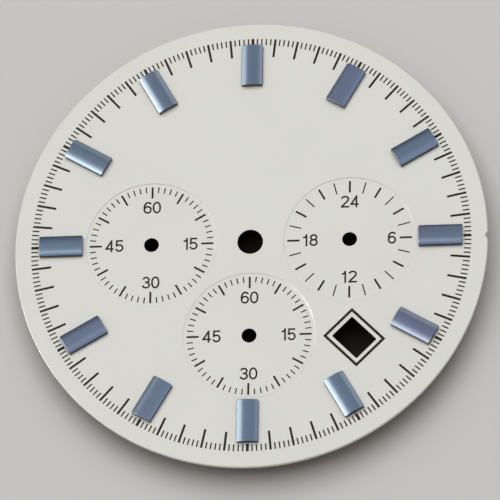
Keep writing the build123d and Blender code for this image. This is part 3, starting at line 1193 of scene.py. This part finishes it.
stageShape = {
    "shader": {"Roughness": 0.8, "Specular IOR Level": 0.2},
    "floorSize": 3000.0,
    "floorColour": paint(198, 197, 195),
    # Painted shade: a dark disc lies on the floor under the dial, so that the openings look as
    # dark as deep shade.
    "padColour": paint(34, 31, 27),
    "padRadius": 13.0,
    "padThickness": 0.10,
    "padSteps": 96,
}

# Matt surfaces see an even room. Reflections see its tones, and each range says where the tone
# changes, from -1 at six o'clock to 1 at twelve.
roomLook = {
    "glossColour": (1.0, 1.05, 1.25, 1.0),
    "overheadTone": 0.70,
    "farTone": 0.18,
    "farRange": (-0.2, 0.9),
    "nearTone": 0.16,
    "nearRange": (-0.65, -0.35),
    "mattColour": (1.0, 1.0, 1.0, 1.0),
    "mattTone": 0.25,
}

# Azimuth counts anticlockwise from three o'clock. A gloss lamp shows in reflections only and a
# fill lamp lights matt surfaces only.
lampRig = {"distance": 500.0, "glossColour": (1.0, 0.92, 0.80)}

glossLamps = {
    "leftWindow": {"azimuth": 179, "elevation": 38, "size": (490, 500), "strength": 2.25},
    "lowWindow": {"azimuth": 182, "elevation": 19, "size": (170, 290), "strength": 6.0},
    "highStrip": {"azimuth": 204, "elevation": 57, "size": (80, 600), "strength": 1.25},
    "smallLamp": {"azimuth": 213, "elevation": 52, "size": (46, 46), "strength": 8.0},
    "rightCard": {"azimuth": 57, "elevation": 30, "size": (500, 440), "strength": 0.65},
}
fillLamps = {
    "topFill": {"azimuth": 98, "elevation": 76, "size": (560, 560), "strength": 2.62},
}

cameraView = {
    "lens": 350.05,
    "sensor": 36.0,
    "clip": (10.0, 10000.0),
    "distance": 347.16,
    "elevation": 67.543,
    "azimuth": -73.039,
    "roll": -17.475,
    "aim": (-0.007, -0.633, coatTop),
}


def towards(azimuth, elevation):
    turn, lift = math.radians(azimuth), math.radians(elevation)
    level = math.cos(lift)
    return Vector((math.cos(turn) * level, math.sin(turn) * level, math.sin(lift)))


def facing(direction):  # the turn that points an object's own +Z along a direction
    level = Vector((0, 0, 1)).cross(direction).normalized()
    return Matrix((level, direction.cross(level), direction)).transposed().to_4x4()


def addStage(name, shell, colour):
    item = addObject(name, shell.mesh(name))
    values = {"Base Color": colour, **stageShape["shader"]}
    item.data.materials.append(startFinish(name, values)[0])


def studioFloor():
    look = stageShape
    half, ground = look["floorSize"] / 2, cadBox[0].z / mm
    floor = Shell()
    floor.flat(floor.ring([(-half, -half), (half, -half), (half, half), (-half, half)], ground))
    addStage("studioFloor", floor, look["floorColour"])
    # the dark disc under the dial is painted shade for the floor seen through the openings
    shadeDisc = Shell()
    loop = circleLoop((0, 0), look["padRadius"], look["padSteps"])
    for end in shadeDisc.sides(loop, [(0, ground), (0, ground + look["padThickness"])]):
        shadeDisc.flat(end)
    addStage("darkPad", shadeDisc, look["padColour"])


def softLamp(name, look, gloss):
    data = bpy.data.lights.new(name, "AREA")
    data.shape = "RECTANGLE"
    data.size, data.size_y = (side * mm for side in look["size"])
    data.energy = look["strength"] * data.size * data.size_y * math.pi
    if gloss:
        data.color = lampRig["glossColour"]
    lamp = addObject(name, data)
    way = towards(look["azimuth"], look["elevation"])
    lamp.matrix_world = Matrix.Translation(way * lampRig["distance"] * mm) @ facing(way)
    lamp.visible_camera = False
    lamp.visible_diffuse = not gloss
    lamp.visible_glossy = gloss


def studioWorld():
    look = roomLook
    world = bpy.data.worlds.new("studioWorld")
    bpy.context.scene.world = world
    world.use_nodes = True
    tree = world.node_tree
    background = tree.nodes["Background"].inputs
    matt = addNode(tree, "ShaderNodeLightPath").outputs["Is Diffuse Ray"]
    colour = mixColours(tree, matt, look["glossColour"], look["mattColour"])
    tree.links.new(colour, background["Color"])
    way = addNode(tree, "ShaderNodeTexCoord").outputs["Generated"]
    lean = splitParts(tree, way)[1]
    far = spread(tree, lean, look["overheadTone"], look["farTone"], *look["farRange"])
    near = spread(tree, lean, look["nearTone"], look["overheadTone"], *look["nearRange"])
    values = {0: matt, 2: calc(tree, "MINIMUM", near, far), 3: look["mattTone"]}
    tree.links.new(addNode(tree, "ShaderNodeMix", values).outputs[0], background["Strength"])


def photoCamera():
    look = cameraView
    data = bpy.data.cameras.new("photoCamera")
    data.lens, data.sensor_width = look["lens"], look["sensor"]
    data.clip_start, data.clip_end = (reach * mm for reach in look["clip"])
    camera = addObject("photoCamera", data)
    way = towards(look["azimuth"], look["elevation"])
    place = Matrix.Translation((Vector(look["aim"]) + way * look["distance"]) * mm)
    roll = Matrix.Rotation(math.radians(look["roll"]), 4, "Z")
    camera.matrix_world = place @ facing(way) @ roll
    bpy.context.scene.camera = camera


studioFloor()
studioWorld()
for name, look in glossLamps.items():
    softLamp(name, look, True)
for name, look in fillLamps.items():
    softLamp(name, look, False)
photoCamera()
bpy.context.scene.view_settings.view_transform = "Standard"
print("studio ready")
